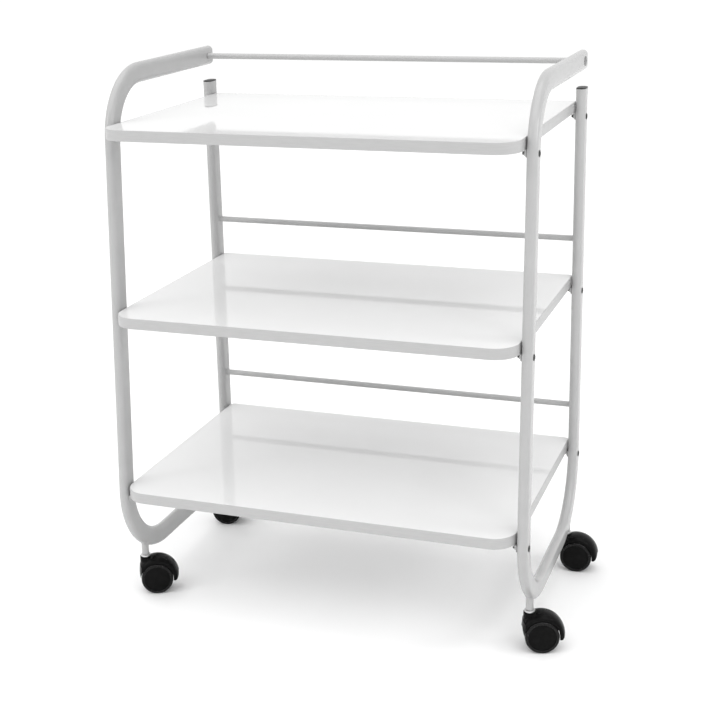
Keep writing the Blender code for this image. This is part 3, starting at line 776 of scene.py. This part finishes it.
def make_fixings():
    """Bolts, brackets, nuts and wood screws under every shelf corner, and the arm rail's bolts."""
    bolt = bolt_mesh(BOLT_HEAD_RADIUS)
    arm_bolt = bolt_mesh(ARM_BOLT_HEAD_RADIUS)
    bracket = bracket_mesh()
    nut = nut_mesh()
    screw = wood_screw_mesh()
    outer = TUBE_X + TUBE_WIDTH / 2
    inner = TUBE_X - TUBE_WIDTH / 2 - GAP
    for side, sign in SIDES.items():
        place = axis_matrix((sign, 0, 0), (sign * (outer + GAP / 3), ARM_RAIL_Y, ARM_HEIGHT))
        add_piece(
            f"{side}_arm_rail_screw", arm_bolt, MATERIALS["bolt_steel"], FRAME_BODY,
            f"arm_rail_bolt_{side}", place,
        )
        for level in LEVELS:
            under = SHELF_TOPS[level] - SHELF_THICKNESS
            height = under - BOLT_DROP
            for end, y in (("front", front_upright_y(height)), ("rear", REAR_UPRIGHT_Y)):
                corner = f"{level}_{end}_{side}"
                turn = Matrix.Identity(4) if sign > 0 else Matrix.Rotation(math.pi, 4, "Z")
                spot = Matrix.Translation((sign * inner, y, under - GAP / 3)) @ turn
                add_piece(
                    f"{corner}_angle", bracket, MATERIALS["powder"], FRAME_BODY,
                    f"bracket_{corner}", spot,
                )
                nut_spot = axis_matrix((-sign, 0, 0), (sign * (inner - BRACKET_SHEET), y, height))
                add_piece(
                    f"{corner}_weld_nut", nut, MATERIALS["powder"], FRAME_BODY,
                    None, nut_spot,
                )
                screw_x = sign * (inner - SCREW_FROM_EDGE)
                screw_spot = Matrix.Translation((screw_x, y, under - BRACKET_SHEET - GAP / 3))
                add_piece(
                    f"{corner}_wood_screw", screw, MATERIALS["zinc"], FRAME_BODY,
                    None, screw_spot,
                )
                bolt_spot = axis_matrix((sign, 0, 0), (sign * (outer + GAP / 3), y, height))
                add_piece(
                    f"{corner}_bolt", bolt, MATERIALS["black_steel"], FRAME_BODY,
                    f"shelf_bolt_{corner}", bolt_spot,
                )


# ---------------------------------------------------------------- casters

def stem_mesh():
    edge = 0.6 * MM
    profile = [(0, STEM_TOP), (STEM_RADIUS - 1 * MM, STEM_TOP), (STEM_RADIUS, STEM_TOP - 1 * MM)]
    profile += [
        (STEM_RADIUS, STEM_GROOVE_HIGH),
        (STEM_GROOVE_RADIUS, STEM_GROOVE_HIGH),
        (STEM_GROOVE_RADIUS, STEM_GROOVE_LOW),
        (STEM_RADIUS, STEM_GROOVE_LOW),
        (STEM_RADIUS, COLLAR_HIGH),
    ]
    profile += reversed(rounded((COLLAR_RADIUS - edge, COLLAR_HIGH - edge), edge, 0, 90))
    profile += reversed(rounded((COLLAR_RADIUS - edge, COLLAR_LOW + edge), edge, -90, 0))
    profile += [(STEM_RADIUS, COLLAR_LOW), (STEM_RADIUS, STEM_BOTTOM), (0, STEM_BOTTOM)]
    return lathe(profile)


def grip_ring_mesh():
    """Split spring ring in the stem's groove."""
    middle = (STEM_GROOVE_LOW + STEM_GROOVE_HIGH) / 2
    half_split = 12
    turn_steps = 60
    stretch_up = 1.8
    rings = []
    for i in range(turn_steps + 1):
        angle = math.radians(half_split + (360 - 2 * half_split) * i / turn_steps)
        ring = []
        for along, up in rounded((0, 0), 0.5 * MM, 0, 330, 11):
            radius = STEM_GROOVE_RADIUS + 0.6 * MM + along
            ring.append((radius * math.cos(angle), radius * math.sin(angle), middle + up * stretch_up))
        rings.append(ring)
    return loft(rings)


def hood_barrel():
    """Domed drum over the wheels."""
    half = HOOD_HALF_WIDTH
    across_steps = 28
    turn_steps = 120
    rings = []
    for i in range(across_steps + 1):
        across = half * math.cos(math.pi * i / across_steps)
        bulge = math.sqrt(max(0.0, 1 - (across / half) ** 2))
        ring = []
        for j in range(turn_steps):
            angle = math.tau * j / turn_steps
            radius = HOOD_RIM_RADIUS + (HOOD_CROWN_RADIUS - HOOD_RIM_RADIUS) * bulge
            x = TRAIL + radius * math.cos(angle)
            ring.append((x, across, WHEEL_RADIUS + radius * math.sin(angle)))
        rings.append(ring)
    return loft(rings)


def drum(radius, start, end, count=64):
    """Closed cylinder round Z from one height to another, the other body of a Boolean."""
    return lathe([(0, start), (radius, start), (radius, end), (0, end)], count)


def prism(outline, low, high):
    return loft([[(x, y, low) for x, y in outline], [(x, y, high) for x, y in outline]])


def hood_mesh():
    """Hood over both wheels, its lower edge notched between the tips.

    The swivel axis is local Z and the wheels trail towards plus X.
    """
    clear = 2 * HOOD_RIM_RADIUS
    wheel_axis = Matrix.Translation((TRAIL, 0, WHEEL_RADIUS))
    wheel_axis = wheel_axis @ Matrix.Rotation(math.radians(90), 4, "X")
    hood = helper(hood_barrel())
    boolean(hood, drum(BOSS_RADIUS, BOSS_BOTTOM, BOSS_TOP), "UNION")

    bite = arc((NOSE_ROUND, 0), NOSE_ROUND, 270, 90, 30)
    outline = [(-clear, -clear), (NOSE_ROUND, -clear), *bite, (NOSE_ROUND, clear), (-clear, clear)]
    ahead = prism(outline, -clear, clear)
    nose_slope = math.atan((NOSE_LOW - NOSE_HIGH) / (BOSS_TOP - TIP_HEIGHT))
    tip = Matrix.Translation((-NOSE_LOW, 0, TIP_HEIGHT))
    ahead.transform(tip @ Matrix.Rotation(nose_slope, 4, "Y"))
    boolean(hood, ahead, "DIFFERENCE")

    tip_slope = math.atan(TIP_FALL / (2 * HOOD_RIM_RADIUS))
    tip_plane = tip @ Matrix.Rotation(tip_slope, 4, "Y")
    below = box_mesh((-clear, -clear, -clear), (2 * clear, clear, 0))
    below.transform(tip_plane)
    boolean(hood, below, "DIFFERENCE")
    half = HOOD_HALF_WIDTH + 2 * GAP
    wedge = [(-2 * half, -EDGE_ARCH), (0, EDGE_ARCH), (2 * half, -EDGE_ARCH)]
    notch = loft([[(x, y, z) for y, z in wedge] for x in (-clear, 2 * clear)])
    notch.transform(tip_plane)
    boolean(hood, notch, "DIFFERENCE")

    far = HOOD_HALF_WIDTH + 5 * MM
    for near_end, far_end in ((HOOD_WEB, far), (-far, -HOOD_WEB)):
        pocket = drum(POCKET_RADIUS, far_end, near_end, 120)
        pocket.transform(wheel_axis)
        boolean(hood, pocket, "DIFFERENCE")

    hub = HOOD_WEB - GAP
    boss = drum(AXLE_BOSS_RADIUS, hub, -hub)
    boss.transform(wheel_axis)
    boolean(hood, boss, "UNION")
    web = box_mesh(
        (TRAIL - WEB_HALF_LENGTH, GAP - hub, WHEEL_RADIUS),
        (TRAIL + WEB_HALF_LENGTH, hub - GAP, WEB_TOP),
    )
    boolean(hood, web, "UNION")
    for radius, low, high, turned in (
        (AXLE_RADIUS + GAP, -HOOD_HALF_WIDTH, HOOD_HALF_WIDTH, wheel_axis),
        (STEM_RADIUS + GAP, STEM_BOTTOM - GAP, STEM_TOP, Matrix.Identity(4)),
    ):
        drill = drum(radius, high, low)
        drill.transform(turned)
        boolean(hood, drill, "DIFFERENCE")

    remesh = hood.modifiers.new("skin", "REMESH")
    remesh.mode = "VOXEL"
    remesh.voxel_size = HOOD_VOXEL
    remesh.use_smooth_shade = True
    soften = hood.modifiers.new("soften", "SMOOTH")
    soften.factor = 0.5
    soften.iterations = 2
    bake(hood)
    return taken_mesh(hood)


def wheel_mesh():
    """Wheel with a rounded tread, a step and a slightly sunk outer disc. Its axis is local Z."""
    rim = WHEEL_RADIUS
    face = WHEEL_OUTER_FACE
    inner = WHEEL_INNER_FACE
    bore = AXLE_RADIUS + GAP
    edge = 2.6 * MM
    step = 20 * MM
    profile = [(0, face - 0.7 * MM), (step - 1.2 * MM, face - 0.7 * MM)]
    profile += [(step - 0.5 * MM, face - 1.2 * MM), (step, face - 1.2 * MM)]
    profile += [(step + 0.3 * MM, face - 0.3 * MM), (step + 0.7 * MM, face), (rim - edge, face)]
    profile += list(reversed(rounded((rim - edge, face - edge), edge, 0, 90, 10)))[1:]
    low = 1.2 * MM
    profile += reversed(rounded((rim - low, inner + low), low, -90, 0, 6))
    profile += [
        (rim - 2.6 * MM, inner),
        (rim - 3.0 * MM, inner + 0.4 * MM),
        (rim - 3.2 * MM, face - 3.2 * MM),
        (bore + 2.8 * MM, face - 3.2 * MM),
        (bore + 2.6 * MM, inner + 0.3 * MM),
        (bore + 2.3 * MM, inner),
        (bore, inner),
        (bore, face - 2.4 * MM),
        (0, face - 2.4 * MM),
    ]
    mesh = lathe(profile, 120)
    mesh.materials.append(MATERIALS["disc"])
    mesh.materials.append(MATERIALS["tread"])
    for polygon in mesh.polygons:
        reach = math.hypot(polygon.center.x, polygon.center.y)
        polygon.material_index = 1 if reach > step + 0.1 * MM else 0
    smooth(mesh)
    return mesh


def centre_of(name):
    low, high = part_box(name)
    return (low + high) / 2 - ROOT


def make_casters():
    stem = stem_mesh()
    ring = grip_ring_mesh()
    hood = hood_mesh()
    wheel = wheel_mesh()
    for corner in CORNERS:
        pin = centre_of(f"caster_stem_{corner}")
        axle = centre_of(f"caster_axle_{corner}")
        heading = math.atan2(axle.y - pin.y, axle.x - pin.x)
        swivel = Matrix.Translation((pin.x, pin.y, 0)) @ Matrix.Rotation(heading, 4, "Z")
        add_piece(
            f"{corner}_stem", stem, MATERIALS["zinc"], FRAME_BODY,
            f"caster_stem_{corner}", swivel,
        )
        add_piece(
            f"{corner}_grip_ring", ring, MATERIALS["zinc"], FRAME_BODY, None, swivel,
        )
        add_piece(
            f"{corner}_hood", hood, MATERIALS["hood"], f"caster_{corner}",
            f"caster_hood_{corner}", swivel,
        )
        wheel_place = swivel @ Matrix.Translation((TRAIL, 0, WHEEL_RADIUS))
        for which, turn in (("near", 90), ("far", -90)):
            spot = wheel_place @ Matrix.Rotation(math.radians(turn), 4, "X")
            add_piece(
                f"{corner}_{which}_wheel", wheel, MATERIALS["tread"],
                f"wheel_body_{which}_{corner}", f"wheel_{which}_{corner}", spot,
            )
        axle_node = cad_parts[f"caster_axle_{corner}"]
        axle_node.data.materials.clear()
        axle_node.data.materials.append(MATERIALS["zinc"])


# ---------------------------------------------------------------- stage, lights, camera

def make_floor():
    bm = bmesh.new()
    bmesh.ops.create_grid(bm, x_segments=8, y_segments=8, size=FLOOR_HALF_SIZE)
    mesh = bpy.data.meshes.new("floor")
    bm.to_mesh(mesh)
    bm.free()
    floor = bpy.data.objects.new("floor", mesh)
    bpy.context.scene.collection.objects.link(floor)
    material = finish_material(
        "pale_floor", grey(0.97), grey(0.99), 3, (0.55, 0.65), 5, (400, 0.05, 0.0001),
    )
    mesh.materials.append(material)


def area_light(name, place, target, size, power):
    data = bpy.data.lights.new(name, "AREA")
    data.shape = "SQUARE"
    data.size = size
    data.energy = power
    light = bpy.data.objects.new(name, data)
    bpy.context.scene.collection.objects.link(light)
    light.location = place
    light.visible_camera = False
    light.rotation_mode = "QUATERNION"
    light.rotation_quaternion = (Vector(target) - Vector(place)).to_track_quat("-Z", "Y")


def soft_sun(name, direction, strength, spread_degrees):
    """Even light from one side of the sky, wide enough for soft shadows."""
    data = bpy.data.lights.new(name, "SUN")
    data.energy = strength
    data.angle = math.radians(spread_degrees)
    light = bpy.data.objects.new(name, data)
    bpy.context.scene.collection.objects.link(light)
    light.rotation_mode = "QUATERNION"
    light.rotation_quaternion = (-Vector(direction)).to_track_quat("-Z", "Y")


def make_lights():
    soft_sun("overhead_light", OVERHEAD_DIRECTION, OVERHEAD_STRENGTH, OVERHEAD_SPREAD)
    for softbox in SOFTBOXES:
        area_light(*softbox)
    make_world()


def make_world():
    """Bright backdrop for camera and glossy rays, and for the rest a fill stronger on one side."""
    world = bpy.data.worlds.new("studio")
    bpy.context.scene.world = world
    world.use_nodes = True
    tree = world.node_tree
    background = tree.nodes["Background"]
    background.inputs["Color"].default_value = (1.0, 1.0, 1.0, 1.0)
    coords = node(tree, "ShaderNodeTexCoord")
    side = node(tree, "ShaderNodeVectorMath", operation="DOT_PRODUCT")
    side.inputs[1].default_value = Vector(BRIGHT_SIDE).normalized()
    tree.links.new(coords.outputs["Generated"], side.inputs[0])
    fill = node(tree, "ShaderNodeMapRange", interpolation_type="SMOOTHSTEP")
    fill.inputs["From Min"].default_value = FILL_START
    fill.inputs["From Max"].default_value = FILL_END
    fill.inputs["To Min"].default_value = DARK_FILL
    fill.inputs["To Max"].default_value = BRIGHT_FILL
    tree.links.new(side.outputs["Value"], fill.inputs["Value"])
    path = node(tree, "ShaderNodeLightPath")
    seen = node(tree, "ShaderNodeMix")
    seen.inputs["B"].default_value = BACKDROP_STRENGTH
    mirrored = node(tree, "ShaderNodeMath", operation="MAXIMUM")
    tree.links.new(path.outputs["Is Camera Ray"], mirrored.inputs[0])
    tree.links.new(path.outputs["Is Glossy Ray"], mirrored.inputs[1])
    tree.links.new(mirrored.outputs["Value"], seen.inputs["Factor"])
    tree.links.new(fill.outputs["Result"], seen.inputs["A"])
    tree.links.new(seen.outputs["Result"], background.inputs["Strength"])


def make_camera():
    """Camera right of the front and a little above, placed from the top shelf's front edge."""
    level = math.cos(PITCH)
    ahead = Vector((-math.sin(YAW) * level, math.cos(YAW) * level, -math.sin(PITCH)))
    level_right = Vector((math.cos(YAW), math.sin(YAW), 0))
    level_up = level_right.cross(ahead)
    right = math.cos(ROLL) * level_right + math.sin(ROLL) * level_up
    up = right.cross(ahead)
    data = bpy.data.cameras.new("camera")
    data.sensor_width = SENSOR_MM
    data.lens = LENS_MM
    data.shift_x, data.shift_y = CAMERA_SHIFT
    data.clip_end = CLIP_END
    camera = bpy.data.objects.new("camera", data)
    bpy.context.scene.collection.objects.link(camera)
    turn = Matrix((right, up, -ahead)).transposed()
    origin = ROOT + Vector((0, 0, SHELF_TOPS["top"]))
    camera.matrix_world = Matrix.Translation(origin + CAMERA_FROM_EDGE) @ turn.to_4x4()
    bpy.context.scene.camera = camera


MATERIALS = make_materials()
STEM_Y = {end: centre_of(f"caster_stem_{end}_left").y for end in ("front", "rear")}
make_side_frames()
make_plugs()
make_rails()
make_shelves()
make_fixings()
make_casters()
make_floor()
make_lights()
make_camera()
bpy.context.scene.view_settings.view_transform = "Standard"
